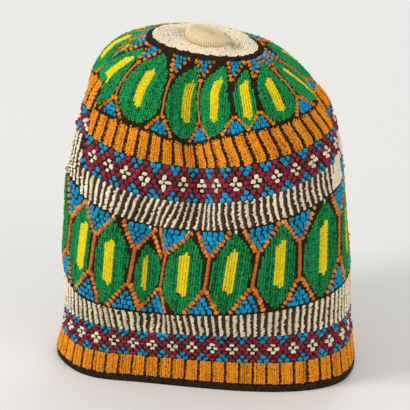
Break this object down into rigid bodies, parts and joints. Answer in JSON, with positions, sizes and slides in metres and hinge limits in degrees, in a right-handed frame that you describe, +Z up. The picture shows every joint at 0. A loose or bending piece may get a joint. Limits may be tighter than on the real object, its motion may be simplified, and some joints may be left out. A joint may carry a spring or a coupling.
{
  "type": "hausa cap",
  "caption": "Soft tall stitched cap with patterned bands, a sloping leafed crown and a round wound button, standing on its open hem.",
  "frame": {"origin": "centre of the box at the bottom, on the surface that the hem rests on", "axes": "+Z up through the button, +X to the wearer's left as the front is seen from before it, front towards -Y"},
  "size_m": [0.214, 0.1356, 0.2478],
  "materials": {
    "binding_yarn": "matt black-brown wound cotton",
    "wall_yarn": "ribbed stitches in orange, green, yellow, blue, maroon, cream and black-brown cotton",
    "crown_yarn": "ribbed stitches in green, yellow, orange, blue and black-brown cotton",
    "ring_yarn": "matt black-brown cotton",
    "disc_thread": "cream cotton worked in circles",
    "button_thread": "straw-cream wound thread with a low sheen"
  },
  "bodies": {
    "root": {"hem_binding": "binding_yarn", "side_wall": "wall_yarn", "crown_panel": "crown_yarn", "crown_ring": "ring_yarn", "crown_disc": "disc_thread", "crown_button": "button_thread"}
  },
  "joints": []
}
